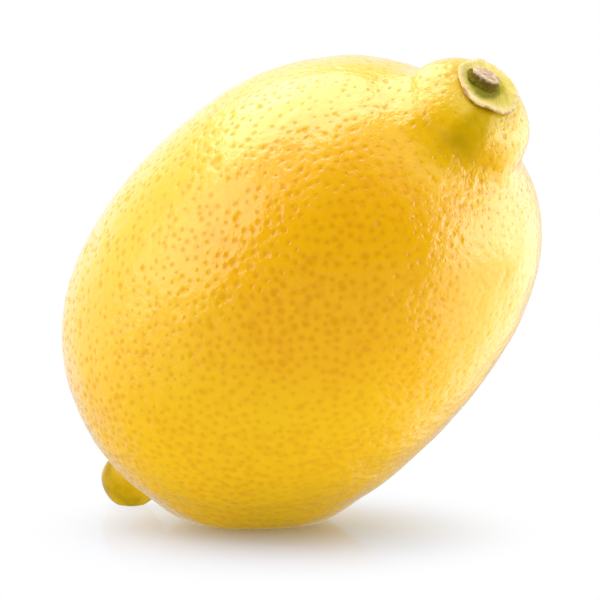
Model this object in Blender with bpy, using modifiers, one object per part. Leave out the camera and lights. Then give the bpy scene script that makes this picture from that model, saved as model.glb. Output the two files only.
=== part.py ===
"""A whole picked lemon: the peel with its nipple and its raised collar, the dry calyx on
the collar and the cut stub of the stem. It lies on a small flat spot on its belly and on
the tip of its nipple, stem end up. Units are metres, +Z is up, and the origin is on the
surface it lies on, under the middle of its box."""

import math

import bmesh
import bpy
from mathutils import Matrix, Vector

MM = 0.001

# The fruit's own axis runs from the nipple to the stem, with 0 at its widest section.
# Each pair is a place along the axis and the radius there, in millimetres.
PEEL_OUTLINE = (
    (-52.1, 0.0), (-51.5, 2.1), (-49.7, 4.0), (-47.5, 4.7), (-45.2, 4.7), (-43.4, 5.7),
    (-41.3, 8.8), (-39.0, 12.5), (-35.5, 18.0), (-30.0, 23.6), (-22.0, 28.1),
    (-12.0, 30.4), (0.0, 31.0), (11.0, 29.9), (20.0, 27.8), (27.0, 24.5), (32.0, 20.9),
    (35.5, 16.9), (38.0, 13.0), (40.2, 10.8), (42.2, 10.1), (44.2, 9.4), (46.0, 8.0),
    (47.3, 6.1), (47.3, 4.9), (47.2, 2.4), (47.2, 0.0),
)
PEEL_RINGS = 54
PEEL_STEPS = 52

# How the axis leans away from a straight line, up and sideways, over a half length.
HALF_LENGTH = 40.0 * MM
LEAN_UP = -1.15 * MM
LEAN_SIDE = 0.29 * MM
BEND_UP = -1.13 * MM
BEND_SIDE = 0.66 * MM
STEM_START = 28.0 * MM
STEM_SPAN = 18.0 * MM
STEM_SHIFT_UP = 0.5 * MM
STEM_SHIFT_SIDE = -2.0 * MM
NIPPLE_START = -36.0 * MM
NIPPLE_SPAN = 14.0 * MM
NIPPLE_SHIFT_UP = 0.85 * MM
NIPPLE_SHIFT_SIDE = 0.62 * MM

# Soft furrows run down the collar from the calyx, one of them deeper than the others.
# Their depths are shares of the radius.
FURROW_COUNT = 7
FURROW_DEPTH = 0.028
DEEP_FURROW_DEPTH = 0.085
DEEP_FURROW_ANGLE = math.radians(-48)
DEEP_FURROW_WIDTH = math.radians(24)
FURROW_MIDDLE = 39.5 * MM
FURROW_REACH = 5.5 * MM

# The end of the collar is not quite square to the axis: its lower side is set back.
SLANT = 0.15
SLANT_ANGLE = math.radians(-66)
SLANT_START = 39.0 * MM
SLANT_END = 46.0 * MM

# The lemon lies back, and its belly has settled to a flat spot.
AXIS_TILT = math.radians(44)
AXIS_HEIGHT = 36.6 * MM
BELLY_SINK = 1.15 * MM
BELLY_SETTLE = 5.0 * MM
BELLY_START = -43.0 * MM
BELLY_SPAN = 6.0 * MM

CUTTER_SIZE = 200.0 * MM
MERGE_DISTANCE = 0.01 * MM

# The calyx lies in the shallow seat at the end of the collar.
CLEARANCE = 0.3 * MM
SEAT = 47.2 * MM
CALYX_OUTLINE = (
    (0.0, 0.0), (2.6, 0.0), (4.4, 0.1), (5.15, 0.35), (5.3, 0.6), (4.95, 0.7),
    (4.2, 0.6), (3.1, 0.7), (2.7, 0.8), (0.0, 0.8),
)
CALYX_RINGS = 16
CALYX_STEPS = 35
CALYX_LOBES = 5
CALYX_LOBE_DEPTH = 0.06
CALYX_RISE = 0.8 * MM
CALYX_SHIFT = Vector((-1.0, 0.25, 0.0)) * MM

STUB_BASE_RADIUS = 2.2 * MM
STUB_TOP_RADIUS = 1.85 * MM
STUB_HEIGHT = 1.1 * MM
STUB_STEPS = 28
STUB_EDGE = 0.3 * MM
STUB_SHIFT = Vector((0.0, -1.0, 0.0)) * MM

PEEL_COLOUR = (0.83, 0.47, 0.02)
PEEL_ROUGHNESS = 0.35
CALYX_COLOUR = (0.46, 0.43, 0.14)
CALYX_ROUGHNESS = 0.6
STEM_COLOUR = (0.42, 0.3, 0.2)
STEM_ROUGHNESS = 0.8


def clear_scene():
    for item in list(bpy.data.objects):
        bpy.data.objects.remove(item, do_unlink=True)


def new_collection(name):
    collection = bpy.data.collections.new(name)
    bpy.context.scene.collection.children.link(collection)
    return collection


def surface_material(name, colour, roughness):
    material = bpy.data.materials.new(name)
    material.use_nodes = True
    shader = material.node_tree.nodes["Principled BSDF"]
    shader.inputs["Base Color"].default_value = (*colour, 1.0)
    shader.inputs["Roughness"].default_value = roughness
    shader.inputs["Metallic"].default_value = 0.0
    return material


def between(low, high, value):
    """0 at or under low, 1 at or over high, and a smooth step from one to the other."""
    share = min(max((value - low) / (high - low), 0.0), 1.0)
    return share * share * (3.0 - 2.0 * share)


def smooth_curve(points, count):
    """Points along a Catmull-Rom curve that meets the axis squarely at both its ends."""
    known = [Vector(p) for p in points]
    first = Vector((-known[1].x, known[1].y))
    last = Vector((-known[-2].x, known[-2].y))
    known = [first] + known + [last]
    spans = len(points) - 1
    curve = []
    for i in range(count):
        place = spans * i / (count - 1)
        k = min(int(place), spans - 1)
        f = place - k
        a, b, c, d = known[k : k + 4]
        bend = 2.0 * a - 5.0 * b + 4.0 * c - d
        twist = 3.0 * (b - c) + d - a
        curve.append(0.5 * (2.0 * b + (c - a) * f + bend * f * f + twist * f**3))
    return curve


def turned_mesh(name, outline, steps):
    """An outline of (radius, place along Z) points turned once about Z into a mesh."""
    mesh = bpy.data.meshes.new(name + "_outline")
    points = [(max(radius, 0.0), 0.0, place) for radius, place in reversed(outline)]
    mesh.from_pydata(points, [(i, i + 1) for i in range(len(points) - 1)], [])
    guide = bpy.data.objects.new(name + "_outline", mesh)
    bpy.context.scene.collection.objects.link(guide)
    screw = guide.modifiers.new("turn", "SCREW")
    screw.axis = "Z"
    screw.angle = 2.0 * math.pi
    screw.steps = steps
    screw.render_steps = steps
    screw.use_merge_vertices = True
    screw.merge_threshold = MERGE_DISTANCE
    bpy.context.view_layer.update()
    graph = bpy.context.evaluated_depsgraph_get()
    turned = bpy.data.meshes.new_from_object(guide.evaluated_get(graph))
    turned.name = name
    bpy.data.objects.remove(guide, do_unlink=True)
    return turned


def axis_shift(place):
    """How far the middle of the section at this place is from the straight axis."""
    share = place / HALF_LENGTH
    stem = min(max((place - STEM_START) / STEM_SPAN, 0.0), 1.0) ** 2
    tip = min(max((NIPPLE_START - place) / NIPPLE_SPAN, 0.0), 1.0) ** 2
    up = LEAN_UP * share + BEND_UP * share**2 + STEM_SHIFT_UP * stem + NIPPLE_SHIFT_UP * tip
    side = LEAN_SIDE * share + BEND_SIDE * share**2
    side += STEM_SHIFT_SIDE * stem + NIPPLE_SHIFT_SIDE * tip
    return Vector((-up, side, 0.0))


def slanted(point):
    """The point after the end of the collar is slanted, with the calyx and the stub on it."""
    across = point.x * math.cos(SLANT_ANGLE) + point.y * math.sin(SLANT_ANGLE)
    drop = SLANT * across * between(SLANT_START, SLANT_END, point.z)
    return Vector((point.x, point.y, point.z - drop))


def on_collar(point, height, shift):
    """A point of a piece that stands on the end of the collar, at a height on the axis."""
    return slanted(point + shift + Vector((0.0, 0.0, height))) + axis_shift(SEAT)


def furrow_depth(place, angle):
    """How deep the furrows around the collar are here, as a share of the radius."""
    away = (place - FURROW_MIDDLE) / FURROW_REACH
    strength = math.exp(-away * away)
    ripple = FURROW_DEPTH * 0.5 * (1.0 - math.cos(FURROW_COUNT * angle))
    turn = math.remainder(angle - DEEP_FURROW_ANGLE, 2.0 * math.pi) / DEEP_FURROW_WIDTH
    return strength * (ripple + DEEP_FURROW_DEPTH * math.exp(-turn * turn))


def settled(point, place, pose):
    """The point after the belly has sagged towards the surface that the lemon lies on."""
    world = pose @ point
    sink = BELLY_SINK * between(BELLY_START, BELLY_START + BELLY_SPAN, place)
    world.z -= sink * (1.0 - between(sink, sink + BELLY_SETTLE, world.z))
    return pose.inverted() @ world


def peel_mesh(pose):
    outline = [p * MM for p in smooth_curve([(r, s) for s, r in PEEL_OUTLINE], PEEL_RINGS)]
    mesh = turned_mesh("fruit", [(p.x, p.y) for p in outline], PEEL_STEPS)
    for vertex in mesh.vertices:
        place = vertex.co.z
        angle = math.atan2(vertex.co.y, vertex.co.x)
        keep = 1.0 - furrow_depth(place, angle)
        point = slanted(Vector((vertex.co.x * keep, vertex.co.y * keep, place)))
        vertex.co = settled(point + axis_shift(place), place, pose)
    return mesh


def calyx_mesh():
    """The dry sepals, grown together into one disc with five blunt lobes."""
    curve = smooth_curve(CALYX_OUTLINE, CALYX_RINGS)
    mesh = turned_mesh("calyx", [(p.x * MM, p.y * MM) for p in curve], CALYX_STEPS)
    for vertex in mesh.vertices:
        angle = math.atan2(vertex.co.y, vertex.co.x)
        grow = 1.0 + CALYX_LOBE_DEPTH * math.cos(CALYX_LOBES * angle)
        point = Vector((vertex.co.x * grow, vertex.co.y * grow, vertex.co.z))
        vertex.co = on_collar(point, SEAT + CLEARANCE, CALYX_SHIFT)
    return mesh


def stub_mesh():
    """The short woody end of the stem, cut above the calyx."""
    height = SEAT + CALYX_RISE + 2.0 * CLEARANCE
    outline = (
        (0.0, 0.0), (STUB_BASE_RADIUS, 0.0),
        (STUB_TOP_RADIUS, STUB_HEIGHT - STUB_EDGE),
        (STUB_TOP_RADIUS - STUB_EDGE, STUB_HEIGHT), (0.0, STUB_HEIGHT),
    )
    mesh = turned_mesh("stem_stub", outline, STUB_STEPS)
    for vertex in mesh.vertices:
        vertex.co = on_collar(vertex.co, height, CALYX_SHIFT + STUB_SHIFT)
    return mesh


def floor_cutter(collection):
    """A block under the surface that the lemon lies on, whose top cuts the flat spots."""
    mesh = bpy.data.meshes.new("floor_cutter")
    block = bmesh.new()
    bmesh.ops.create_cube(block, size=CUTTER_SIZE)
    bmesh.ops.translate(block, verts=block.verts, vec=(0.0, 0.0, -CUTTER_SIZE / 2.0))
    block.to_mesh(mesh)
    block.free()
    cutter = bpy.data.objects.new("floor_cutter", mesh)
    cutter.hide_render = True
    cutter.display_type = "WIRE"
    collection.objects.link(cutter)
    return cutter


def cut_flat_spots(fruit, cutter):
    cut = fruit.modifiers.new("flat_spots", "BOOLEAN")
    cut.operation = "DIFFERENCE"
    cut.solver = "EXACT"
    cut.object = cutter


def add_piece(name, mesh, material, collection, parent):
    mesh.name = name
    mesh.materials.clear()
    mesh.materials.append(material)
    mesh.shade_smooth()
    piece = bpy.data.objects.new(name, mesh)
    piece.parent = parent
    collection.objects.link(piece)
    return piece


def centre_on_origin(holder, pieces):
    """Slides the lemon over the surface until the middle of its box is at the origin."""
    bpy.context.view_layer.update()
    corners = [piece.matrix_world @ v.co for piece in pieces for v in piece.data.vertices]
    for axis in (0, 1):
        values = [corner[axis] for corner in corners]
        holder.location[axis] -= 0.5 * (min(values) + max(values))


def build_lemon():
    clear_scene()
    collection = new_collection("lemon")
    lie_back = Matrix.Rotation(math.pi / 2.0 - AXIS_TILT, 4, "Y")
    pose = Matrix.Translation((0.0, 0.0, AXIS_HEIGHT)) @ lie_back
    holder = bpy.data.objects.new("lemon_axis", None)
    holder.matrix_world = pose
    collection.objects.link(holder)
    peel = surface_material("lemon_peel", PEEL_COLOUR, PEEL_ROUGHNESS)
    sepals = surface_material("dry_calyx", CALYX_COLOUR, CALYX_ROUGHNESS)
    wood = surface_material("cut_stem", STEM_COLOUR, STEM_ROUGHNESS)
    pieces = [
        add_piece("fruit", peel_mesh(pose), peel, collection, holder),
        add_piece("calyx", calyx_mesh(), sepals, collection, holder),
        add_piece("stem_stub", stub_mesh(), wood, collection, holder),
    ]
    centre_on_origin(holder, pieces)
    cut_flat_spots(pieces[0], floor_cutter(new_collection("cutters")))


build_lemon()
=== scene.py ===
"""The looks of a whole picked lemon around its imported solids: the waxed peel pitted with oil
glands, the dried calyx in its seat on the collar, and the cut stub of the stem."""

import math

import bpy
import numpy as np
from mathutils import Matrix, Vector


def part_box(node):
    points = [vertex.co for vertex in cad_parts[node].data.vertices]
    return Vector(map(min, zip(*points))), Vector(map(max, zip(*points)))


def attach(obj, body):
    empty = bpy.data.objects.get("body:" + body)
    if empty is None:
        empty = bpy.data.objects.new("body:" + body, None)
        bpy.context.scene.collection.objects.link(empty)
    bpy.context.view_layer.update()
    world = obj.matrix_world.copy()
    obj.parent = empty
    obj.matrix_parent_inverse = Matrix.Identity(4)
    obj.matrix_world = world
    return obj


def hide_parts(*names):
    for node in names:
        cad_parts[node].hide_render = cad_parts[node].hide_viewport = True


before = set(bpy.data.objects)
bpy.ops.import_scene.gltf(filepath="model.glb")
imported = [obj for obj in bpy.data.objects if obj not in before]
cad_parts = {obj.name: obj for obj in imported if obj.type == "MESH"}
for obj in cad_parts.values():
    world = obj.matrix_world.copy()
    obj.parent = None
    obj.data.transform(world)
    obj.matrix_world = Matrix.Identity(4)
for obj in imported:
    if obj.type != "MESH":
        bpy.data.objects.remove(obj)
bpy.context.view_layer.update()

MM = 0.001
PLACE = "own_place"  # where each point of a piece lies on the piece's own axis, in millimetres

# ---- The lemon's form, in millimetres along and away from its own axis ----

# Each pair is a place along the axis, from the nipple to the stem, and the radius there.
PEEL_OUTLINE = (
    (-52.1, 0.0), (-51.5, 2.1), (-49.7, 4.0), (-47.5, 4.7), (-45.2, 4.7), (-43.4, 5.7),
    (-41.3, 8.8), (-39.0, 12.5), (-35.5, 18.0), (-30.0, 23.6), (-22.0, 28.1),
    (-12.0, 30.4), (0.0, 31.0), (11.0, 29.9), (20.0, 27.8), (27.0, 24.5), (32.0, 20.9),
    (35.5, 16.9), (38.0, 13.0), (40.2, 10.8), (42.2, 10.1), (44.0, 9.3), (45.5, 8.0),
    (46.5, 6.2), (47.0, 4.2), (47.3, 2.1), (47.4, 0.0),
)
OUTLINE_SAMPLES = 2600
PEEL_QUADS = 128  # quads along each side of the six grids that wrap the fruit
END_FINENESS = 5.0  # the larger, the finer the grids grow towards the nipple and the collar
SEAM_DIGITS = 6  # points of two grids that agree to this many digits are one point

# How the fruit's own axis leans and bends away from a straight line.
HALF_LENGTH = 40.0
LEAN_UP = -1.15
LEAN_SIDE = 0.29
BEND_UP = -1.13
BEND_SIDE = 0.66
STEM_START = 28.0
STEM_SPAN = 18.0
STEM_SHIFT_UP = 0.5
STEM_SHIFT_SIDE = -2.0
NIPPLE_START = -36.0
NIPPLE_SPAN = 14.0
NIPPLE_SHIFT_UP = 0.85
NIPPLE_SHIFT_SIDE = 0.62

# The soft furrows that run down the collar, as shares of the radius.
FURROW_COUNT = 7
FURROW_DEPTH = 0.028
DEEP_FURROW_DEPTH = 0.085
DEEP_FURROW_ANGLE = math.radians(-48)
DEEP_FURROW_WIDTH = math.radians(24)
FURROW_MIDDLE = 39.5
FURROW_REACH = 5.5

# The end of the collar is set back on its lower side, and falls away round its middle.
SLANT = 0.15
SLANT_ANGLE = math.radians(-66)
SLANT_START = 39.0
SLANT_END = 46.0
SEAT_DOME = 0.025  # how far it falls, times the square of the way out from the middle

# The lemon lies back on a belly that has sagged to a flat spot, a little less than the solids.
AXIS_TILT = math.radians(44)
AXIS_HEIGHT = 36.6
BELLY_SINK = 0.8
BELLY_SETTLE = 3.5
BELLY_START = -43.0
BELLY_SPAN = 6.0

# The calyx on the collar's end: five blunt sepals grown into one disc. Each pair in its outline
# is a radius and a height over its seat, from the middle of its underside round its rim.
SEAT = 47.4
CALYX_SHIFT = (-0.95, 0.3)
CALYX_OUTLINE = (
    (0.0, -0.1), (2.5, -0.1), (4.2, 0.0), (5.0, 0.2), (5.34, 0.42), (5.4, 0.56),
    (5.26, 0.68), (4.9, 0.64), (4.4, 0.50), (3.7, 0.46), (3.0, 0.58), (2.5, 0.72),
    (2.0, 0.78), (0.0, 0.78),
)
CALYX_RINGS = 56
CALYX_STEPS = 200
CALYX_LOBES = 5
CALYX_LOBE_DEPTH = 0.03
CALYX_RIM = (3.2, 5.2)  # the lobes and the waves of the rim grow between these radii
RIM_LIFT = 0.1
CALYX_VEINS = 31
VEIN_HEIGHT = 0.02
VEIN_START = (1.6, 3.0)  # the veins grow between these radii
VEIN_SWAYS = 3
VEIN_SWAY = 2.0
UPPER_SIDE = 0.4  # what is higher over the seat than this is the side with the veins
# Waves round an edge: how many times each goes round, its size, and where it starts.
RIM_RIPPLE = ((2, 0.07, 0.6), (3, 0.08, 2.1), (7, 0.05, 0.4), (11, 0.035, 1.7), (19, 0.015, 0.2))
RIM_NOTCH = ((2, 0.06, 2.2), (3, 0.02, 0.3), (8, 0.007, 2.2), (13, 0.005, 0.9))

# The stub on the calyx: a swollen green ring at its foot and a rough cut end. Its outline is
# given as the calyx's is, over its own foot.
STUB_SHIFT = (-1.65, -0.95)
STUB_FOOT = 0.6
STUB_OUTLINE = (
    (0.0, -0.2), (1.8, -0.2), (2.3, 0.0), (2.35, 0.2), (2.05, 0.42), (1.85, 0.66),
    (1.86, 0.88), (1.94, 1.04), (1.84, 1.18), (1.5, 1.2), (0.9, 1.08), (0.0, 1.12),
)
STUB_RINGS = 44
STUB_STEPS = 120
STUB_OVAL = ((2, 0.12, -1.07), (3, 0.03, 1.0), (5, 0.02, 2.0))
STUB_LEAN = (-0.16, 0.10)  # how far it leans over for each millimetre of its height
LEAN_START = (0.0, 0.8)  # its sections tip over with it between these heights


# ---- Small helpers ----


def between(low, high, value):
    """0 at or under low, 1 at or over high, and a smooth step from one to the other."""
    share = np.clip((value - low) / (high - low), 0.0, 1.0)
    return share * share * (3.0 - 2.0 * share)


def linear(code):
    """An sRGB hex value as a linear colour with full alpha."""
    parts = [int(code[i : i + 2], 16) / 255.0 for i in (1, 3, 5)]
    return (*(p / 12.92 if p <= 0.04045 else ((p + 0.055) / 1.055) ** 2.4 for p in parts), 1.0)


def give(tree, node, inputs):
    """Gives a node its inputs, in the node's own order or by name. Each is a value, a socket to
    link, or another node, whose result is linked."""
    named = inputs if isinstance(inputs, dict) else dict(enumerate(inputs))
    for name, value in named.items():
        if isinstance(value, bpy.types.Node):
            value = next(result for result in value.outputs if result.enabled)
        if isinstance(value, bpy.types.NodeSocket):
            tree.links.new(value, node.inputs[name])
        else:
            node.inputs[name].default_value = value


def add(tree, kind, inputs=(), **settings):
    """Adds a node with its settings and its inputs."""
    node = tree.nodes.new(kind)
    for name, value in settings.items():
        setattr(node, name, value)
    give(tree, node, inputs)
    return node


def curve_through(points, count):
    """Points along a smooth curve that meets the axis squarely at both its ends."""
    known = np.array(points, float)
    known = np.vstack([known[1] * (-1.0, 1.0), known, known[-2] * (-1.0, 1.0)])
    place = np.linspace(0.0, len(points) - 1.0, count)
    k = np.minimum(place.astype(int), len(points) - 2)
    f = (place - k)[:, None]
    a, b, c, d = (known[k + i] for i in range(4))
    bend = 2.0 * a - 5.0 * b + 4.0 * c - d
    twist = 3.0 * (b - c) + d - a
    return 0.5 * (2.0 * b + (c - a) * f + bend * f**2 + twist * f**3)


def new_piece(name, points, own_places, faces, pose, material):
    """A smooth piece from points in millimetres on the fruit's axis, laid down by the pose.
    Each point keeps its own place, which the patterns on the piece are drawn from."""
    mesh = bpy.data.meshes.new(name)
    mesh.from_pydata((posed(points, pose) * MM).tolist(), [], faces)
    mesh.update()
    mesh.shade_smooth()
    mesh.materials.append(material)
    place = mesh.attributes.new(PLACE, "FLOAT_VECTOR", "POINT")
    place.data.foreach_set("vector", own_places.astype(np.float32).ravel())
    piece = bpy.data.objects.new(name, mesh)
    bpy.context.scene.collection.objects.link(piece)
    bpy.context.view_layer.update()
    return piece


def turned(outline, rings, steps):
    """An outline of (radius, height) pairs turned about the axis: points and faces."""
    curve = curve_through(outline, rings)
    angle = np.arange(steps) * 2.0 * math.pi / steps
    radius, height = curve[1:-1, :1], curve[1:-1, 1:]
    ring = np.stack([radius * np.cos(angle), radius * np.sin(angle), height + 0.0 * angle], -1)
    ends = [[[0.0, 0.0, curve[0, 1]]], [[0.0, 0.0, curve[-1, 1]]]]
    points = np.concatenate([ends[0], ring.reshape(-1, 3), ends[1]])
    faces = []
    last = len(points) - 1
    for k in range(steps):
        after = (k + 1) % steps
        faces.append((0, 1 + after, 1 + k))
        for row in range(rings - 3):
            low = 1 + row * steps
            faces.append((low + k, low + after, low + steps + after, low + steps + k))
        top = last - steps
        faces.append((top + k, top + after, last))
    return points, faces


# ---- Form: the solids' surface with more points, a domed end and a less settled belly ----


def axis_shift(place):
    """How far the middle of the section at each place is from the straight axis."""
    share = place / HALF_LENGTH
    stem = np.clip((place - STEM_START) / STEM_SPAN, 0.0, 1.0) ** 2
    tip = np.clip((NIPPLE_START - place) / NIPPLE_SPAN, 0.0, 1.0) ** 2
    up = LEAN_UP * share + BEND_UP * share**2 + STEM_SHIFT_UP * stem + NIPPLE_SHIFT_UP * tip
    side = LEAN_SIDE * share + BEND_SIDE * share**2
    side = side + STEM_SHIFT_SIDE * stem + NIPPLE_SHIFT_SIDE * tip
    return np.stack([-up, side, 0.0 * share], -1)


def slanted(points):
    """The points after the end of the collar is slanted."""
    across = points[:, 0] * math.cos(SLANT_ANGLE) + points[:, 1] * math.sin(SLANT_ANGLE)
    drop = SLANT * across * between(SLANT_START, SLANT_END, points[:, 2])
    return points - np.stack([0.0 * drop, 0.0 * drop, drop], -1)


def furrow_depth(place, angle):
    """How deep the furrows around the collar are, as a share of the radius."""
    strength = np.exp(-(((place - FURROW_MIDDLE) / FURROW_REACH) ** 2))
    ripple = FURROW_DEPTH * 0.5 * (1.0 - np.cos(FURROW_COUNT * angle))
    turn = (angle - DEEP_FURROW_ANGLE + math.pi) % (2.0 * math.pi) - math.pi
    deep = DEEP_FURROW_DEPTH * np.exp(-((turn / DEEP_FURROW_WIDTH) ** 2))
    return strength * (ripple + deep)


def on_collar(points, height, shift):
    """Points of a piece that is draped on the collar's domed end, at a height on the axis."""
    moved = points + np.array([*shift, height])
    moved[:, 2] -= SEAT_DOME * (moved[:, 0] ** 2 + moved[:, 1] ** 2)
    return slanted(moved) + axis_shift(np.array([SEAT]))


def lying_pose():
    """The pose that lays the fruit back on its belly, before it is centred on the frame."""
    lie_back = Matrix.Rotation(math.pi / 2.0 - AXIS_TILT, 4, "Y")
    return Matrix.Translation((0.0, 0.0, AXIS_HEIGHT * MM)) @ lie_back


def posed(points, pose):
    """Points in millimetres moved by a pose in metres."""
    turn = np.array(pose.to_3x3())
    return points @ turn.T + np.array(pose.translation) / MM


def settled(points, place, pose):
    """The points after the belly has sagged towards the surface that the lemon lies on."""
    world = posed(points, pose)
    sink = BELLY_SINK * between(BELLY_START, BELLY_START + BELLY_SPAN, place)
    height = world[:, 2]
    world[:, 2] = height - sink * (1.0 - between(sink, sink + BELLY_SETTLE, height))
    return posed(world, pose.inverted())


def grid_ball(side):
    """A ball of six square grids, so that the peel has no pinched poles: points and quads."""
    steps = np.tan(np.linspace(-1.0, 1.0, side + 1) * math.pi / 4.0)
    u, v = (grid.ravel() for grid in np.meshgrid(steps, steps, indexing="ij"))
    one = np.ones_like(u)
    grids = ((one, u, v), (-one, v, u), (v, one, u), (u, -one, v), (u, v, one), (v, u, -one))
    points = np.concatenate([np.stack(grid, -1) for grid in grids])
    points /= np.linalg.norm(points, axis=1, keepdims=True)
    row = side + 1
    corner = (np.arange(side)[:, None] * row + np.arange(side)[None, :]).ravel()
    quad = np.stack([corner, corner + row, corner + row + 1, corner + 1], -1)
    quads = np.concatenate([quad + k * row * row for k in range(len(grids))])
    _, first, again = np.unique(
        np.round(points, SEAM_DIGITS), axis=0, return_index=True, return_inverse=True
    )
    return points[first], again.ravel()[quads].tolist()


def peel_form(pose):
    """The peel's points on the fruit's own axis, in millimetres, and its quads."""
    ball, quads = grid_ball(PEEL_QUADS)
    outline = curve_through([(r, s) for s, r in PEEL_OUTLINE], OUTLINE_SAMPLES)
    steps = np.linalg.norm(np.diff(outline, axis=0), axis=1)
    wide = (outline[1:, 0] + outline[:-1, 0]) / 2.0 + END_FINENESS
    share = np.concatenate([[0.0], np.cumsum(steps * wide)])
    share /= share[-1]
    cap = (1.0 + ball[:, 2]) / 2.0
    radius = np.interp(cap, share, outline[:, 0])
    place = np.interp(cap, share, outline[:, 1])
    angle = np.arctan2(ball[:, 1], ball[:, 0])
    keep = radius * (1.0 - furrow_depth(place, angle))
    points = np.stack([keep * np.cos(angle), keep * np.sin(angle), place], -1)
    points = slanted(points) + axis_shift(place)
    return settled(points, place, pose), quads


def centred(pose, points):
    """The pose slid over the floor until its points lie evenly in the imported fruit's box."""
    low, high = (Vector(corner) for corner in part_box("fruit"))
    world = posed(points, pose) * MM
    middle = (world.min(0) + world.max(0)) / 2.0
    slide = (low + high) / 2.0 - Vector(middle)
    return Matrix.Translation((slide.x, slide.y, 0.0)) @ pose


def ruffle(angle, waves):
    """How far an edge waves in and out, or up and down, at each angle."""
    return sum(size * np.cos(count * angle + start) for count, size, start in waves)


def calyx_form():
    """The calyx's own points, and the same points in its seat."""
    own, faces = turned(CALYX_OUTLINE, CALYX_RINGS, CALYX_STEPS)
    angle = np.arctan2(own[:, 1], own[:, 0])
    radius = np.hypot(own[:, 0], own[:, 1])
    rim = between(*CALYX_RIM, radius)
    lobes = CALYX_LOBE_DEPTH * np.cos(CALYX_LOBES * angle)
    grow = 1.0 + rim * (lobes + ruffle(angle, RIM_NOTCH))
    sway = VEIN_SWAY * np.sin(VEIN_SWAYS * angle)
    veins = VEIN_HEIGHT * np.cos(CALYX_VEINS * angle + sway) * between(*VEIN_START, radius)
    lift = rim * (ruffle(angle, RIM_RIPPLE) + RIM_LIFT) + veins * (own[:, 2] > UPPER_SIDE)
    shaped = own * np.stack([grow, grow, np.ones_like(grow)], -1)
    shaped[:, 2] += lift
    return own, on_collar(shaped, SEAT, CALYX_SHIFT), faces


def stub_form():
    """The stub's own points, and the same points standing on the calyx."""
    own, faces = turned(STUB_OUTLINE, STUB_RINGS, STUB_STEPS)
    angle = np.arctan2(own[:, 1], own[:, 0])
    grow = 1.0 + ruffle(angle, STUB_OVAL)
    shaped = own * np.stack([grow, grow, np.ones_like(grow)], -1)
    lean = np.array(STUB_LEAN)
    tip = shaped[:, :2] @ lean * between(*LEAN_START, own[:, 2])
    shaped[:, :2] += own[:, 2:] * lean
    shaped[:, 2] -= tip
    return own, on_collar(shaped, SEAT + STUB_FOOT, STUB_SHIFT), faces


# ---- Oil glands: scattered over the peel, for its form and for its material ----

# For each kind of lemon oil gland, in millimetres: how near its glands lie to each other,
# the radius of the smallest pit and of the widest, and how deep the skin dips over them.
GLANDS = {
    "big_gland": (4.8, 0.62, 0.90, 0.08),
    "common_gland": (1.35, 0.36, 0.64, 0.06),
}
GLAND_SEED = 5
GLAND_TRIES = 3.0  # places tried for each square as wide as the least spacing
TOP_TO_BOTTOM = (-16.0, 12.0)  # across the fruit as it lies, in millimetres
TOP_GLANDS = 0.7  # the share of places tried on its upper side, where glands are
TOP_GROWTH = 1.2  # fewer but wider
GLAND_GROWTH = (0.85, 1.25)  # how much narrower or wider the pits are in patches
GROWTH_PATCH = 22.0  # how far apart the patches are, in millimetres
GROWTH_PATCH_EDGE = (0.35, 0.65)  # of their noise, which runs from 0 to 1
COLLAR_RISE = (28.0, 41.0)  # along the fruit, in millimetres
COLLAR_GROWTH = 0.6  # how wide the pits on the collar are, to those on the belly
PIT_SLOPE = (1.0, 0.1)  # from a pit's rim to its bottom, as shares of its radius
PIT_SHARE = 0.9  # a pit ends within this share of half the way to the next gland
SKIRT_RADIUS = 1.05  # the skin already leans in this far from the middle of a pit
SKIRT_DEPTH = 0.022

# Each relief, here and in the materials, is how far apart its bumps are and how high, in
# millimetres, and how finely they break up.
PEEL_SWELLS = ((17.0, 0.45, 2.0), (5.5, 0.14, 2.0))
CALYX_CRUMPLES = ((1.3, 0.10, 3.0), (0.4, 0.03, 2.0))
STUB_FIBRES = ((1.0, 0.20, 4.0), (0.35, 0.05, 2.0))
PITS_IN_FORM = 0.4  # the share of the pits' depth in the peel's form, besides its bump


def place_on_mesh(tree):
    """Where each point lies on its piece's own axis, for geometry nodes."""
    return add(
        tree, "GeometryNodeInputNamedAttribute", {"Name": PLACE}, data_type="FLOAT_VECTOR"
    )


def place_on_surface(tree):
    """Where the shaded spot lies on its piece's own axis, for a material."""
    return add(tree, "ShaderNodeAttribute", attribute_name=PLACE).outputs["Vector"]


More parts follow.
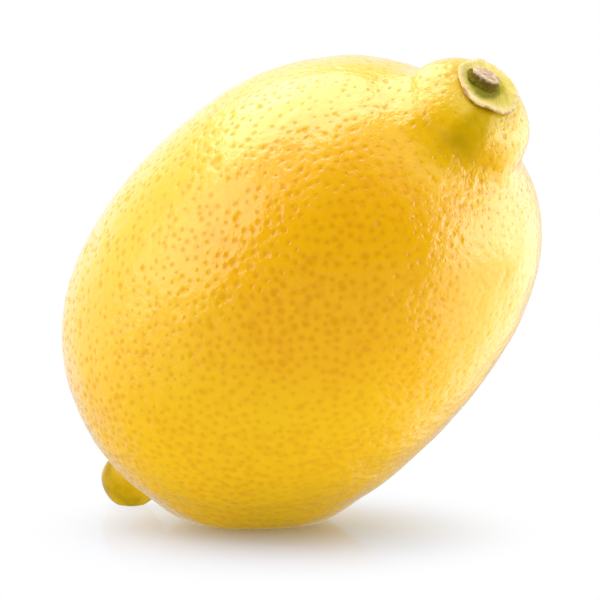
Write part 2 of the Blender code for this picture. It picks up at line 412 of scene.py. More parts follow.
def scattered_glands(tree, geometry, kind):
    """The geometry with how far each point is from the nearest gland of a kind, and on each
    face that gland's place and the radius of its pit."""
    nearest, smallest, widest, _ = GLANDS[kind]
    spot = place_on_mesh(tree)
    across, _, along = add(tree, "ShaderNodeSeparateXYZ", [spot]).outputs
    patch = add(tree, "ShaderNodeTexNoise", {"Vector": spot, "Scale": 1.0 / GROWTH_PATCH})
    fewer, wider, narrower, patchy = (
        add(
            tree, "ShaderNodeMapRange", [value, *edge, *amounts],
            interpolation_type="SMOOTHSTEP",
        )
        for value, edge, amounts in (
            (across, TOP_TO_BOTTOM, (TOP_GLANDS, 1.0)),
            (across, TOP_TO_BOTTOM, (TOP_GROWTH, 1.0)),
            (along, COLLAR_RISE, (1.0, COLLAR_GROWTH)),
            (patch, GROWTH_PATCH_EDGE, GLAND_GROWTH),
        )
    )
    glands = add(
        tree, "GeometryNodeDistributePointsOnFaces",
        {"Mesh": geometry, "Distance Min": nearest * MM, "Density Factor": fewer,
         "Density Max": GLAND_TRIES / (nearest * MM) ** 2, "Seed": GLAND_SEED},
        distribute_method="POISSON",
    )
    width = add(
        tree, "FunctionNodeRandomValue", {"Min": smallest, "Max": widest}, data_type="FLOAT"
    )
    for growth in (patchy, wider, narrower):
        width = add(tree, "ShaderNodeMath", [width, growth], operation="MULTIPLY")
    near = add(tree, "GeometryNodeSampleNearest", {"Geometry": glands})
    place, radius = (
        add(
            tree, "GeometryNodeSampleIndex",
            {"Geometry": glands, "Value": value, "Index": near}, data_type=data_type,
        )
        for value, data_type in ((spot, "FLOAT_VECTOR"), (width, "FLOAT"))
    )
    reach = add(tree, "ShaderNodeVectorMath", [spot, place], operation="DISTANCE")
    for name, value, data_type, domain in (
        ("_place", place, "FLOAT_VECTOR", "FACE"),
        ("_radius", radius, "FLOAT", "FACE"),
        ("_reach", reach, "FLOAT", "POINT"),
    ):
        geometry = add(
            tree, "GeometryNodeStoreNamedAttribute",
            {"Geometry": geometry, "Name": kind + name, "Value": value},
            data_type=data_type, domain=domain,
        )
    return geometry


def pit_and_skirt(tree, kind, distance, radius, reach):
    """How far down a pit the skin is, and how far down the slope around it, from 0 to 1."""
    nearest, *_ = GLANDS[kind]
    way_out = add(tree, "ShaderNodeMath", [distance, radius], operation="DIVIDE")
    pit, inside, skirt = (
        add(tree, "ShaderNodeMapRange", [value, *edge], interpolation_type="SMOOTHSTEP")
        for value, edge in (
            (way_out, PIT_SLOPE),
            (reach, (nearest / 2.0, PIT_SHARE * nearest / 2.0)),
            (reach, (SKIRT_RADIUS, 0.0)),
        )
    )
    return add(tree, "ShaderNodeMath", [pit, inside], operation="MULTIPLY"), skirt


def pitted_height(tree, kind, pit, skirt):
    """The height of the skin in millimetres, 0 between the glands."""
    *_, depth = GLANDS[kind]
    slope = add(tree, "ShaderNodeMath", [skirt, -SKIRT_DEPTH], operation="MULTIPLY")
    return add(tree, "ShaderNodeMath", [pit, -depth, slope], operation="MULTIPLY_ADD")


def glands_on_mesh(tree, kind):
    """The pit and the slope around it at each point, for geometry nodes."""
    reach, radius = (
        add(tree, "GeometryNodeInputNamedAttribute", {"Name": kind + name}, data_type="FLOAT")
        for name in ("_reach", "_radius")
    )
    return pit_and_skirt(tree, kind, reach, radius, reach)


def glands_on_surface(tree, kind, spot):
    """The pit and the slope around it at the shaded spot, for a material."""
    place, radius, reach = (
        add(tree, "ShaderNodeAttribute", attribute_name=kind + name).outputs[part]
        for name, part in (("_place", "Vector"), ("_radius", "Fac"), ("_reach", "Fac"))
    )
    distance = add(tree, "ShaderNodeVectorMath", [spot, place], operation="DISTANCE")
    return pit_and_skirt(tree, kind, distance, radius, reach)


def relief(tree, spot, size, height, detail):
    """Rolling bumps and dips: size is how far apart they lie, in millimetres."""
    rolls = add(
        tree, "ShaderNodeTexNoise", {"Vector": spot, "Scale": 1.0 / size, "Detail": detail}
    )
    return add(
        tree, "ShaderNodeMath", [rolls, 2.0 * height, -height], operation="MULTIPLY_ADD"
    )


def summed(tree, parts):
    """The sum of its parts, which are numbers or links."""
    total, *others = parts
    for part in others:
        total = add(tree, "ShaderNodeMath", [total, part], operation="ADD")
    return total


def raised(tree, geometry, height):
    """The geometry with its points moved along their normals by a height in millimetres."""
    metres = add(tree, "ShaderNodeMath", [height, MM], operation="MULTIPLY")
    normal = add(tree, "GeometryNodeInputNormal")
    offset = add(
        tree, "ShaderNodeVectorMath", {"Vector": normal, "Scale": metres}, operation="SCALE"
    )
    return add(tree, "GeometryNodeSetPosition", {"Geometry": geometry, "Offset": offset})


def grown(piece, shape):
    """Runs geometry nodes over the piece once and keeps the mesh that they make."""
    tree = bpy.data.node_groups.new(piece.name + "_growth", "GeometryNodeTree")
    for way in ("INPUT", "OUTPUT"):
        tree.interface.new_socket(name="Mesh", in_out=way, socket_type="NodeSocketGeometry")
    start = add(tree, "NodeGroupInput").outputs["Mesh"]
    add(tree, "NodeGroupOutput", {"Mesh": shape(tree, start)})
    growth = piece.modifiers.new("growth", "NODES")
    growth.node_group = tree
    graph = bpy.context.evaluated_depsgraph_get()
    mesh = bpy.data.meshes.new_from_object(piece.evaluated_get(graph))
    piece.modifiers.clear()
    old = piece.data
    piece.data = mesh
    mesh.name = piece.name
    mesh.shade_smooth()
    bpy.data.meshes.remove(old)
    bpy.data.node_groups.remove(tree)


def peel_growth(tree, geometry):
    """Slow swells and dents first, then the pits over the oil glands."""
    spot = place_on_mesh(tree)
    for kind in GLANDS:
        geometry = scattered_glands(tree, geometry, kind)
    swells = summed(tree, [relief(tree, spot, *swell) for swell in PEEL_SWELLS])
    pits = [pitted_height(tree, kind, *glands_on_mesh(tree, kind)) for kind in GLANDS]
    depth = add(
        tree, "ShaderNodeMath", [summed(tree, pits), PITS_IN_FORM], operation="MULTIPLY"
    )
    return raised(tree, raised(tree, geometry, swells), depth)


def calyx_growth(tree, geometry):
    """Small crumples in the dry sepals."""
    spot = place_on_mesh(tree)
    crumples = [relief(tree, spot, *crumple) for crumple in CALYX_CRUMPLES]
    return raised(tree, geometry, summed(tree, crumples))


def stub_growth(tree, geometry):
    """The torn fibres of the cut end."""
    spot = place_on_mesh(tree)
    fibres = [relief(tree, spot, *fibre) for fibre in STUB_FIBRES]
    return raised(tree, geometry, summed(tree, fibres))


# ---- Materials ----

FLAT = (1.0, 1.0, 0.0)  # a place times this leaves out how far it is along the axis


def new_material(name):
    """A new material, its node tree and its shader."""
    material = bpy.data.materials.new(name)
    material.use_nodes = True
    return material, material.node_tree, material.node_tree.nodes["Principled BSDF"]


def layered(tree, ground, layers, blend="MIX"):
    """The ground colour with each layer laid over it: a layer is its share and its hex. Layers
    that multiply are clear, and tint what is under them."""
    for share, code in layers:
        ground = add(
            tree, "ShaderNodeMix", {"Factor": share, "A": ground, "B": linear(code)},
            data_type="RGBA", blend_type=blend,
        )
    return ground


def colour_bands(tree, value, bands):
    """A colour that follows a value from 0 to 1: each band is where it is and its hex."""
    ramp = add(tree, "ShaderNodeValToRGB", [value])
    stops = ramp.color_ramp.elements
    for number, (where, code) in enumerate(bands):
        stop = stops[number] if number < len(stops) else stops.new(where)
        stop.position = where
        stop.color = linear(code)
    return ramp


# The peel's colours.
RIPE_YELLOW = "#F6B600"
PALE_YELLOW = "#F9C400"
# painted light: a lighter, greener yellow for the brightly lit upper side
PAINTED_LIGHT_YELLOW = "#EEC400"
# painted sheen: a paler yellow on the ridges between the glands
RIDGE_SHEEN_YELLOW = "#FDC604"
NECK_GREEN = "#D9C22E"
# in the deep furrow: partly its own olive green, partly painted shade of the hollow
FURROW_GREEN_AND_SHADE = "#C6A000"
# on the nipple: partly its own olive, partly painted shade for the fruit's shadow over it
NIPPLE_OLIVE_AND_SHADE = "#AA8A00"
# in the gland pits: partly the oil's own ochre, partly painted shade for the sheen they lack
PIT_OCHRE_AND_SHADE = "#E8A800"
# a warmer, slightly darker tint laid over the upper side towards the stem
UPPER_WARM_TINT = "#FFF2D8"
GLOSS_TINT = "#FFD040"

# Where the peel's colours change. Each pair is from where a colour starts to where it is full,
# in millimetres across or along the fruit unless it says otherwise. A stray is a relief that
# moves an edge to and fro.
COLOUR_PATCH = (9.0, 4.0)  # how far apart its patches of colour are, and how finely broken
COLOUR_PATCH_EDGE = (0.3, 0.7)  # of their noise, which runs from 0 to 1
# Painted light: the upper side is painted a lighter, greener yellow.
PAINTED_LIGHT_SIDE = (2.0, -22.0)
PAINTED_LIGHT_SHARE = 0.85
# Painted sheen on the ridges between the glands, broken up by a grain.
RIDGE_SHEEN_GRAIN = (1.3, 1.8, 4.0)
RIDGE_SHEEN_EDGE = (0.0, 1.3)  # of how far up from the pits the skin is, with its grain
WARM_TINT_PLACE = (10.0, -21.0, 19.0)  # the middle of the warmer, darker tint on the upper side
WARM_TINT_REACH = (27.0, 12.0)  # away from that place
WARM_TINT_STRAY = (9.0, 5.0, 3.0)

# The skin beside the collar's deep furrow, around the calyx and on the nipple is still green.
# In the furrow and on the nipple it is also darker: painted shade.
GREEN_ANGLE = math.radians(-54)
FURROW_WAY = (math.cos(GREEN_ANGLE), math.sin(GREEN_ANGLE), 0.0)
FURROW_SIDES = (0.92, 1.0)  # of the cosine of the angle from the furrow
FURROW_FOOT = (37.5, 43.0)
FURROW_TOP = (51.0, 46.0)
COLLAR_MIDDLE = (2.1, -0.2, 0.0)
NECK_EDGE = (42.5, 47.0)
NECK_SHARE = 0.75
NIPPLE_EDGE = (-42.0, -47.0)
GREEN_STRAY = (2.5, 0.5, 3.0)
GREEN_SHARE = 0.85

# How boldly the glands show, and how the wax lies over them and over the green skin.
BOLD_SIDE = (-6.0, -24.0)
BOLD_COLLAR = (30.0, 38.0)
FAINT_GLANDS = 0.45  # what is left of them away from the bold side and the collar
# how strongly the pits are painted ochre: partly their own colour, partly painted shade
DOT_STRENGTH = 0.72
WAX_OVER_DOTS = (0.05, 0.9)  # of how far down the pit
WAX_IN_DOTS = 0.55
WAX_OVER_GREEN = (0.0, 0.8)  # of how green the skin is
WAX_ON_GREEN = 0.12
ROUGH_OVER_DOTS = (0.15, 0.8)  # of how far down the pit
SMOOTH_SKIN = 0.25
ROUGH_PIT = 0.6

# Bump that is too fine for the peel's form.
FINE_RELIEF = ((2.6, 0.10, 2.0), (1.1, 0.07, 2.0), (0.45, 0.024, 2.0))
WRINKLES = (1.3, 0.12, 3.0)
WRINKLE_STRETCH = (1.0, 1.0, 0.22)  # a small last number draws them out along the axis
WRINKLE_EDGE = (33.0, 40.0)
RIND_BUMP = 0.3
WAX_BUMP = 1.0


def green_and_shaded_places(tree, spot):
    """How green the peel is on the nipple, in the furrow, and round the calyx. On the nipple and
    in the furrow this also lays on painted shade.
    """
    along = add(tree, "ShaderNodeSeparateXYZ", [spot]).outputs["Z"]
    out = add(tree, "ShaderNodeVectorMath", [spot, COLLAR_MIDDLE], operation="SUBTRACT")
    out = add(tree, "ShaderNodeVectorMath", [out, FLAT], operation="MULTIPLY")
    out = add(tree, "ShaderNodeVectorMath", [out], operation="NORMALIZE")
    facing = add(tree, "ShaderNodeVectorMath", [out, FURROW_WAY], operation="DOT_PRODUCT")
    nipple, sides, foot, top, neck = (
        add(
            tree, "ShaderNodeMapRange", [value, *edge, 0.0, most],
            interpolation_type="SMOOTHSTEP",
        )
        for value, edge, most in (
            (along, NIPPLE_EDGE, 1.0),
            (facing, FURROW_SIDES, 1.0),
            (along, FURROW_FOOT, 1.0),
            (along, FURROW_TOP, 1.0),
            (along, NECK_EDGE, NECK_SHARE),
        )
    )
    furrow = add(tree, "ShaderNodeMath", [sides, foot], operation="MULTIPLY")
    furrow = add(tree, "ShaderNodeMath", [furrow, top], operation="MULTIPLY")
    stray = summed(tree, [GREEN_SHARE, relief(tree, spot, *GREEN_STRAY)])
    return [
        add(tree, "ShaderNodeMath", [green, stray], operation="MULTIPLY")
        for green in (nipple, furrow, neck)
    ]


def collar_wrinkles(tree, spot):
    """Fine wrinkles that run along the collar, in millimetres of height."""
    drawn_out = add(tree, "ShaderNodeVectorMath", [spot, WRINKLE_STRETCH], operation="MULTIPLY")
    along = add(tree, "ShaderNodeSeparateXYZ", [spot]).outputs["Z"]
    strength = add(
        tree, "ShaderNodeMapRange", [along, *WRINKLE_EDGE], interpolation_type="SMOOTHSTEP"
    )
    wrinkles = relief(tree, drawn_out, *WRINKLES)
    return add(tree, "ShaderNodeMath", [wrinkles, strength], operation="MULTIPLY")


def showing_glands(tree, spot):
    """The pit and the slope around it for each kind of gland, as boldly as they show."""
    _, around, along = add(tree, "ShaderNodeSeparateXYZ", [spot]).outputs
    side, collar = (
        add(
            tree, "ShaderNodeMapRange", [value, *edge, least, 1.0],
            interpolation_type="SMOOTHSTEP",
        )
        for value, edge, least in (
            (around, BOLD_SIDE, FAINT_GLANDS), (along, BOLD_COLLAR, 0.0)
        )
    )
    boldness = add(tree, "ShaderNodeMath", [side, collar], operation="MAXIMUM")
    return {
        kind: [
            add(tree, "ShaderNodeMath", [depth, boldness], operation="MULTIPLY")
            for depth in glands_on_surface(tree, kind, spot)
        ]
        for kind in GLANDS
    }


def peel_colour(tree, spot, dots, skirts, greens_and_shades, olive):
    """Patches of two yellows; painted light as a lighter, greener yellow on the upper side;
    painted sheen as a paler yellow on the ridges between the glands; green at the ends, with
    painted shade in the furrow and on the nipple; ochre down in the pits, partly painted shade;
    and a warmer, darker tint over the upper side towards the stem."""
    across = add(tree, "ShaderNodeSeparateXYZ", [spot]).outputs["X"]
    size, detail = COLOUR_PATCH
    patches = add(
        tree, "ShaderNodeTexNoise", {"Vector": spot, "Scale": 1.0 / size, "Detail": detail}
    )
    ridges = add(tree, "ShaderNodeMath", [1.0, skirts], operation="SUBTRACT")
    ridges = summed(tree, [ridges, relief(tree, spot, *RIDGE_SHEEN_GRAIN)])
    from_warm_middle = add(tree, "ShaderNodeVectorMath", [spot, WARM_TINT_PLACE], operation="DISTANCE")
    from_warm_middle = summed(tree, [from_warm_middle, relief(tree, spot, *WARM_TINT_STRAY)])
    pale, clear, ridge_sheen, warm_tinted = (
        add(
            tree, "ShaderNodeMapRange", [value, *edge, 0.0, most],
            interpolation_type="SMOOTHSTEP",
        )
        for value, edge, most in (
            (patches, COLOUR_PATCH_EDGE, 1.0),
            (across, PAINTED_LIGHT_SIDE, PAINTED_LIGHT_SHARE),
            (ridges, RIDGE_SHEEN_EDGE, 1.0),
            (from_warm_middle, WARM_TINT_REACH, 1.0),
        )
    )
    strength = add(tree, "ShaderNodeMath", [DOT_STRENGTH, olive], operation="SUBTRACT")
    pit_ochre_and_shade = add(tree, "ShaderNodeMath", [dots, strength], operation="MULTIPLY")
    nipple, furrow, neck = greens_and_shades
    # clear is the upper side's painted light, a lighter, greener yellow.
    ground = layered(tree, linear(RIPE_YELLOW), (
        (pale, PALE_YELLOW), (clear, PAINTED_LIGHT_YELLOW), (ridge_sheen, RIDGE_SHEEN_YELLOW), (neck, NECK_GREEN),
        (furrow, FURROW_GREEN_AND_SHADE), (nipple, NIPPLE_OLIVE_AND_SHADE), (pit_ochre_and_shade, PIT_OCHRE_AND_SHADE),
    ))
    return layered(tree, ground, [(warm_tinted, UPPER_WARM_TINT)], "MULTIPLY")


def waxed_lemon_peel():
    """Ripe lemon rind with a film of wax. The film gives crisp soft-edged highlights on the
    smooth skin, which has little gloss of its own. It is thin and dull down in the gland pits,
    so they show as deeper dots, and almost missing on the green skin."""
    material, tree, shader = new_material("waxed_lemon_peel")
    spot = place_on_surface(tree)
    glands = showing_glands(tree, spot)
    dots, skirts = (
        add(tree, "ShaderNodeMath", depths, operation="MAXIMUM")
        for depths in zip(*glands.values())
    )
    greens_and_shades = green_and_shaded_places(tree, spot)
    nipple, furrow, _ = greens_and_shades
    # olive holds how green the nipple and furrow are, and so their painted shade too.
    olive = add(tree, "ShaderNodeMath", [nipple, furrow], operation="MAXIMUM")
    wax, wax_on_green, roughness = (
        add(
            tree, "ShaderNodeMapRange", [value, *edge, start, end],
            interpolation_type="SMOOTHSTEP",
        )
        for value, edge, start, end in (
            (dots, WAX_OVER_DOTS, 1.0, WAX_IN_DOTS),
            (olive, WAX_OVER_GREEN, 1.0, WAX_ON_GREEN),
            (dots, ROUGH_OVER_DOTS, SMOOTH_SKIN, ROUGH_PIT),
        )
    )
    height = summed(tree, [
        *(pitted_height(tree, kind, *depths) for kind, depths in glands.items()),
        *(relief(tree, spot, *bumps) for bumps in FINE_RELIEF),
        collar_wrinkles(tree, spot),
    ])
    rind_normal, wax_normal = (
        add(tree, "ShaderNodeBump", {"Height": height, "Strength": strength, "Distance": MM})
        for strength in (RIND_BUMP, WAX_BUMP)
    )
    give(tree, shader, {
        "Base Color": peel_colour(tree, spot, dots, skirts, greens_and_shades, olive),
        "Roughness": roughness,
        "IOR": 1.45,
        "Specular IOR Level": 0.08,
        "Specular Tint": linear(GLOSS_TINT),
        "Normal": rind_normal,
        "Coat Weight": add(tree, "ShaderNodeMath", [wax, wax_on_green], operation="MULTIPLY"),
        "Coat Roughness": 0.15,
        "Coat IOR": 1.68,
        "Coat Normal": wax_normal,
    })
    return material


# From the stem to the rim of the calyx: each band is its share of the way and its hex.
CALYX_REACH = 5.7  # from its middle, in millimetres
CALYX_BANDS = (
    (0.0, "#A8A020"), (1.0, "#C89E6C"), (0.38, "#BCAE30"), (0.50, "#D6C44C"),
    (0.62, "#E2CE60"), (0.74, "#EAD678"), (0.86, "#F2DC90"), (0.94, "#F6E0A4"),
)
BAND_BLOTCH = (1.6, 3.0)  # how far apart the blotches that move the bands are, and how fine
BLOTCH_EDGE = (0.3, 0.7)
CALYX_BAND_STRAY = (-0.08, 0.08)  # how far they move them, as shares of the way
STEM_PLACE = (0.2, -1.75, 0.0)  # the middle of the part that is still green, set below the stub, where its darkness is also painted shade
STEM_GREEN_AND_SHADE = "#827C00"
STEM_GREEN_AND_SHADE_REACH = (3.1, 1.9)  # away from that place
STEM_GREEN_AND_SHADE_SHARE = 0.9
STEM_GREEN_AND_SHADE_STRAY = (1.1, 0.6, 3.0)
STREAKS_ROUND = 26.0  # how many streaks fit round the calyx
STREAK_EDGE = (0.35, 0.7)
STREAK_SHARE = 0.35
VEIN_DUN = "#CFC888"
STREAK_RELIEF = (1.0, 0.03, 2.0)
PAPER_RELIEF = (0.25, 0.02, 2.0)


def dried_calyx():
    """Dried sepals, papery: pale at the curled rim, with fine veins, and still green beside
    the stem, with painted shade darkening the green below the stub."""
    material, tree, shader = new_material("dried_calyx")
    spot = place_on_surface(tree)
    side, up, height = add(tree, "ShaderNodeSeparateXYZ", [spot]).outputs
    angle = add(tree, "ShaderNodeMath", [up, side], operation="ARCTAN2")
    around = add(
        tree, "ShaderNodeMath", [angle, STREAKS_ROUND / (2.0 * math.pi)], operation="MULTIPLY"
    )
    flat = add(tree, "ShaderNodeVectorMath", [spot, FLAT], operation="MULTIPLY")
    out = add(tree, "ShaderNodeVectorMath", [flat], operation="LENGTH")
    from_stem = add(tree, "ShaderNodeVectorMath", [flat, STEM_PLACE], operation="DISTANCE")
    from_stem = summed(tree, [from_stem, relief(tree, spot, *STEM_GREEN_AND_SHADE_STRAY)])
    green = add(
        tree, "ShaderNodeMapRange", [from_stem, *STEM_GREEN_AND_SHADE_REACH, 0.0, STEM_GREEN_AND_SHADE_SHARE],
        interpolation_type="SMOOTHSTEP",
    )
    along_streaks = add(tree, "ShaderNodeCombineXYZ", [around, out, height])
    streaks = add(
        tree, "ShaderNodeTexNoise",
        {"Vector": along_streaks, "Scale": 1.0, "Detail": 3.0, "Roughness": 0.6},
    )
    veins = add(tree, "ShaderNodeMapRange", [streaks, *STREAK_EDGE, 0.0, STREAK_SHARE])
    size, detail = BAND_BLOTCH
    blotches = add(
        tree, "ShaderNodeTexNoise", {"Vector": spot, "Scale": 1.0 / size, "Detail": detail}
    )
    stray = add(tree, "ShaderNodeMapRange", [blotches, *BLOTCH_EDGE, *CALYX_BAND_STRAY])
    share = add(
        tree, "ShaderNodeMath", [out, 1.0 / CALYX_REACH, stray], operation="MULTIPLY_ADD"
    )
    # The dark green beside the stem is partly its own colour, partly painted shade below the
    # stub.
    skin = layered(tree, colour_bands(tree, share, CALYX_BANDS), [(green, STEM_GREEN_AND_SHADE)])
    height = summed(tree, [
        relief(tree, spot, *PAPER_RELIEF), relief(tree, along_streaks, *STREAK_RELIEF)
    ])
    give(tree, shader, {
        "Base Color": layered(tree, skin, [(veins, VEIN_DUN)], "MULTIPLY"),
        "Roughness": 0.62,
        "IOR": 1.45,
        "Specular IOR Level": 0.25,
        "Normal": add(tree, "ShaderNodeBump", {"Height": height, "Distance": MM}),
    })
    return material


# From the foot of the stub to its cut end: each band is its share of the way and its hex.
STUB_TALL = 1.45  # from the foot of its outline, in millimetres, to where the last band is full
STUB_BANDS = (
    (0.0, "#8A8400"), (1.0, "#EAD2B6"), (0.22, "#7E7400"), (0.40, "#6A5800"),
    (0.60, "#80682C"), (0.76, "#CDB08C"),
)
BARK_BLOTCH = (0.7, 4.0)
STUB_BAND_STRAY = (-0.12, 0.24)
PORE_SPACING = 0.7
PORE_EDGE = (0.15, 0.42)  # as shares of the spacing
PORE_SHARE = 0.35
PORE_BROWN = "#5E4634"
PORE_DEPTH = 0.08
TORN_RELIEF = (0.22, 0.06, 3.0)


def cut_stem_wood():
    """The cut end of the stem, rough and dull: torn grey-pink fibres on top, with dark pores,
    and dark olive bark at the foot."""
    material, tree, shader = new_material("cut_stem_wood")
    spot = place_on_surface(tree)
    height = add(tree, "ShaderNodeSeparateXYZ", [spot]).outputs["Z"]
    size, detail = BARK_BLOTCH
    blotches = add(
        tree, "ShaderNodeTexNoise", {"Vector": spot, "Scale": 1.0 / size, "Detail": detail}
    )
    stray = add(tree, "ShaderNodeMapRange", [blotches, *BLOTCH_EDGE, *STUB_BAND_STRAY])
    share = add(
        tree, "ShaderNodeMath", [height, 1.0 / STUB_TALL, stray], operation="MULTIPLY_ADD"
    )
    pores = add(tree, "ShaderNodeTexVoronoi", {"Vector": spot, "Scale": 1.0 / PORE_SPACING})
    holes = add(tree, "ShaderNodeMapRange", [pores, *PORE_EDGE, PORE_SHARE, 0.0])
    depth = add(tree, "ShaderNodeMath", [holes, -PORE_DEPTH], operation="MULTIPLY")
    height = summed(tree, [relief(tree, spot, *TORN_RELIEF), depth])
    give(tree, shader, {
        "Base Color": layered(
            tree, colour_bands(tree, share, STUB_BANDS), [(holes, PORE_BROWN)]
        ),
        "Roughness": 0.85,
        "Specular IOR Level": 0.2,
        "Normal": add(tree, "ShaderNodeBump", {"Height": height, "Distance": MM}),
    })
    return material


# ---- Pieces ----


def flatten_on_floor(piece):
    """Presses what lies under the surface flat onto it."""
    for vertex in piece.data.vertices:
        vertex.co.z = max(vertex.co.z, 0.0)


def stand_for(piece, node):
    """The piece rides on the fruit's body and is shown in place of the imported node."""
    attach(piece, "root")
    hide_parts(node)


def make_peel(pose):
    """Makes the peel, and gives the pose that the whole fruit lies in."""
    points, quads = peel_form(pose)
    pose = centred(pose, points)
    peel = new_piece("peel", points, points, quads, pose, waxed_lemon_peel())
    grown(peel, peel_growth)
    flatten_on_floor(peel)
    stand_for(peel, "fruit")
    return pose


def make_calyx(pose):
    """Makes the calyx, in its seat on the collar of the fruit in this pose."""
    own, points, faces = calyx_form()
    calyx = new_piece("dry_calyx", points, own, faces, pose, dried_calyx())
    grown(calyx, calyx_growth)
    stand_for(calyx, "calyx")


def make_stub(pose):
    """Makes the stub of the stem, on the calyx of the fruit in this pose."""
    own, points, faces = stub_form()
    stub = new_piece("cut_stub", points, own, faces, pose, cut_stem_wood())
    grown(stub, stub_growth)
    stand_for(stub, "stem_stub")


# ---- Studio ----

VIEW_AZIMUTH = math.radians(36.3)
VIEW_ELEVATION = math.radians(5.0)
VIEW_DISTANCE = 0.6  # in metres
NEAREST_SEEN = 0.01
VIEW_LENS = 234.0  # in millimetres
SENSOR = 36.0
SHIFT_RIGHT = -0.000833  # as shares of the view's width
SHIFT_UP = -0.019167


def direction(azimuth, elevation):
    """The way from the lemon towards a place in the studio."""
    return Vector((
        math.sin(azimuth) * math.cos(elevation),
        -math.cos(azimuth) * math.cos(elevation),
        math.sin(elevation),
    ))


def way_to(azimuth, elevation):
    """The same, in degrees, with the azimuth from the camera's."""
    return direction(VIEW_AZIMUTH + math.radians(azimuth), math.radians(elevation))


def aim(item, target):
    """Turns a camera or a light to face the target."""
    item.rotation_euler = (target - item.location).to_track_quat("-Z", "Y").to_euler()


def make_camera(target):
    """A long lens a little above the table, which sees the fruit's side and its stem end."""
    camera = bpy.data.objects.new("camera", bpy.data.cameras.new("camera"))
    bpy.context.scene.collection.objects.link(camera)
    camera.location = target + direction(VIEW_AZIMUTH, VIEW_ELEVATION) * VIEW_DISTANCE
    aim(camera, target)
    camera.data.lens = VIEW_LENS
    camera.data.sensor_width = SENSOR
    camera.data.shift_x = SHIFT_RIGHT
    camera.data.shift_y = SHIFT_UP
    camera.data.dof.use_dof = False
    camera.data.clip_start = NEAREST_SEEN
    bpy.context.scene.camera = camera


# Each softbox: its azimuth from the camera's and its elevation in degrees, its distance,
# width and height in metres, and how bright its cloth is.
SOFTBOXES = {
    "left_softbox": (-74.0, 21.0, 0.8, 0.64, 0.6, 1.22),
    "right_softbox": (88.0, 7.0, 0.8, 0.84, 0.36, 1.7),
    "top_softbox": (-126.0, 69.0, 0.8, 0.86, 0.86, 2.85),
}


def make_softboxes(target):
    """Softboxes that are out of sight, but for their light and their glare in the wax."""
    for name, (azimuth, elevation, distance, width, height, glow) in SOFTBOXES.items():
        light = bpy.data.lights.new(name, "AREA")
        light.shape = "RECTANGLE"
        light.size = width
        light.size_y = height
        light.energy = glow * width * height * math.pi
        item = bpy.data.objects.new(name, light)
        bpy.context.scene.collection.objects.link(item)
        item.location = target + way_to(azimuth, elevation) * distance
        aim(item, target)
        item.visible_camera = False


# The studio around the lemon. Each pair is from where a part of it is dark to where it glows in
# full: how far it is towards the camera, as a cosine, or how far up, as a sine.
DARK_GLOW = 0.04  # everywhere
ROOM_GLOW = 0.66  # the white room to the sides and behind
ROOM_EDGE = (0.7, 0.42)
BACK_GLOW = 0.2  # added to it straight behind the lemon
BACK_EDGE = (-0.4, -0.95)
ROOM_FOOT = (-0.8, 0.1)
OVERHEAD_GLOW = 0.48  # a cloth above the camera that lights the skin, too dim to glare in the wax
OVERHEAD_FOOT = (0.1, 0.6)
OVERHEAD_EDGE = (-0.1, 0.5)
# Each wall: its azimuth from the camera's and its elevation in degrees, the cosines of the
# angles from there to its edge and to where it glows in full, and its glow.
WALLS = ((102.0, -12.0, 0.55, 0.8, 1.4), (-125.0, 12.0, 0.5, 0.8, 0.22))
WALL_FOOT = (-0.95, -0.5)
WALL_SOFTENING = 0.5  # the walls glare in the wax, but light the skin this much less


def make_world():
    """White all over to the eye. On the fruit it glows as the room, the overhead cloth and the
    walls do."""
    world = bpy.data.worlds.new("studio")
    bpy.context.scene.world = world
    world.use_nodes = True
    tree = world.node_tree
    tree.nodes.clear()
    way = add(tree, "ShaderNodeTexCoord").outputs["Generated"]
    path = add(tree, "ShaderNodeLightPath").outputs
    up = add(tree, "ShaderNodeSeparateXYZ", [way]).outputs["Z"]
    front, *facings = (
        add(
            tree, "ShaderNodeVectorMath", [way, way_to(azimuth, elevation)],
            operation="DOT_PRODUCT",
        )
        for azimuth, elevation, *_ in ((0.0, 0.0), *WALLS)
    )
    room, back, room_foot, overhead, overhead_foot, wall_foot, *walls = (
        add(
            tree, "ShaderNodeMapRange", [value, *edge, 0.0, glow],
            interpolation_type="SMOOTHSTEP",
        )
        for value, edge, glow in (
            (front, ROOM_EDGE, ROOM_GLOW),
            (front, BACK_EDGE, BACK_GLOW),
            (up, ROOM_FOOT, 1.0),
            (front, OVERHEAD_EDGE, OVERHEAD_GLOW),
            (up, OVERHEAD_FOOT, 1.0),
            (up, WALL_FOOT, 1.0),
            *(
                (facing, (edge, middle), glow)
                for facing, (_, _, edge, middle, glow) in zip(facings, WALLS)
            ),
        )
    )
    softened = add(
        tree, "ShaderNodeMath", [path["Is Diffuse Ray"], -WALL_SOFTENING, 1.0],
        operation="MULTIPLY_ADD",
    )
    glow = DARK_GLOW
    for part, foot, rays in (
        (summed(tree, [room, back]), room_foot, 1.0),
        (overhead, overhead_foot, path["Is Diffuse Ray"]),
        (summed(tree, walls), wall_foot, softened),
    ):
        part = add(tree, "ShaderNodeMath", [part, foot], operation="MULTIPLY")
        glow = add(tree, "ShaderNodeMath", [part, rays, glow], operation="MULTIPLY_ADD")
    lit, seen = (
        add(tree, "ShaderNodeBackground", {"Color": linear("#FFFFFF"), "Strength": strength})
        for strength in (glow, 1.0)
    )
    both = add(tree, "ShaderNodeMixShader", [path["Is Camera Ray"], lit, seen])
    add(tree, "ShaderNodeOutputWorld", {"Surface": both})


# The table top, in metres.
TABLE_RADIUS = 0.4
TABLE_SIDES = 128
TABLE_WHITE = "#CAD2E6"
LACQUER_SHINE = 0.25
LACQUER_ROUGHNESS = 0.09
# It fades into the room's white in an oval: its middle, its half width and half depth, and
# the shares of the way out between which it fades.
FADE_MIDDLE = (-0.004, -0.006, 0.0)
FADE_OVAL = (0.042, 0.054)
FADE_EDGE = (0.1, 1.0)
# How brightly it lights the fruit from below: less in the fruit's own shade.
TABLE_GLOW = 1.22
SHADE_GLOW = 0.61
SHADE_REACH = 0.03


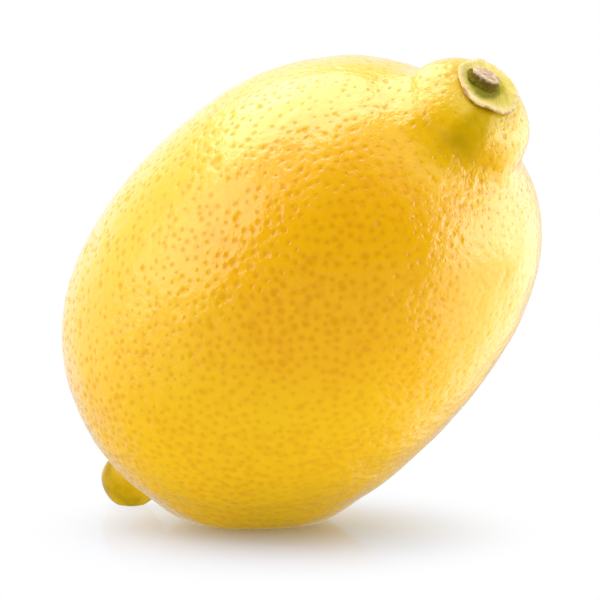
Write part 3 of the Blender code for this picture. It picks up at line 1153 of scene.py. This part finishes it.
def make_floor():
    """A white table top in polished lacquer. To the eye it fades into the white of the room.
    It lights the fruit from below, but it is kept out of the fruit's gloss."""
    bpy.ops.mesh.primitive_circle_add(
        vertices=TABLE_SIDES, radius=TABLE_RADIUS, fill_type="NGON"
    )
    floor = bpy.context.object
    floor.name = "floor"
    floor.rotation_euler.z = VIEW_AZIMUTH
    floor.visible_glossy = False
    material, tree, shader = new_material("white_lacquered_table")
    tree.nodes.remove(shader)
    spot = add(tree, "ShaderNodeTexCoord").outputs["Object"]
    spot = add(tree, "ShaderNodeVectorMath", [spot, FADE_MIDDLE], operation="SUBTRACT")
    oval = add(
        tree, "ShaderNodeVectorMath", [spot, (*(1.0 / half for half in FADE_OVAL), 0.0)],
        operation="MULTIPLY",
    )
    oval, away = (
        add(tree, "ShaderNodeVectorMath", [place], operation="LENGTH")
        for place in (oval, spot)
    )
    fade, glow = (
        add(
            tree, "ShaderNodeMapRange", [value, *edge, *amounts],
            interpolation_type="SMOOTHSTEP",
        )
        for value, edge, amounts in (
            (oval, FADE_EDGE, (0.0, 1.0)),
            (away, (0.0, SHADE_REACH), (SHADE_GLOW, TABLE_GLOW)),
        )
    )
    paint = add(tree, "ShaderNodeBsdfDiffuse", {"Color": linear(TABLE_WHITE)})
    polish = add(tree, "ShaderNodeBsdfGlossy", {"Roughness": LACQUER_ROUGHNESS})
    lacquer = add(tree, "ShaderNodeMixShader", [LACQUER_SHINE, paint, polish])
    white, lit = (
        add(tree, "ShaderNodeEmission", {"Strength": strength}) for strength in (1.0, glow)
    )
    seen = add(tree, "ShaderNodeMixShader", [fade, lacquer, white])
    path = add(tree, "ShaderNodeLightPath").outputs
    both = add(tree, "ShaderNodeMixShader", [path["Is Diffuse Ray"], seen, lit])
    give(tree, tree.nodes["Material Output"], {"Surface": both})
    material.cycles.emission_sampling = "NONE"
    floor.data.materials.append(material)


def main():
    """Makes the fruit, then the studio around it."""
    pose = make_peel(lying_pose())
    make_calyx(pose)
    make_stub(pose)
    target = Vector((0.0, 0.0, AXIS_HEIGHT * MM))
    make_floor()
    make_world()
    make_softboxes(target)
    make_camera(target)
    bpy.context.scene.view_settings.view_transform = "Standard"


main()
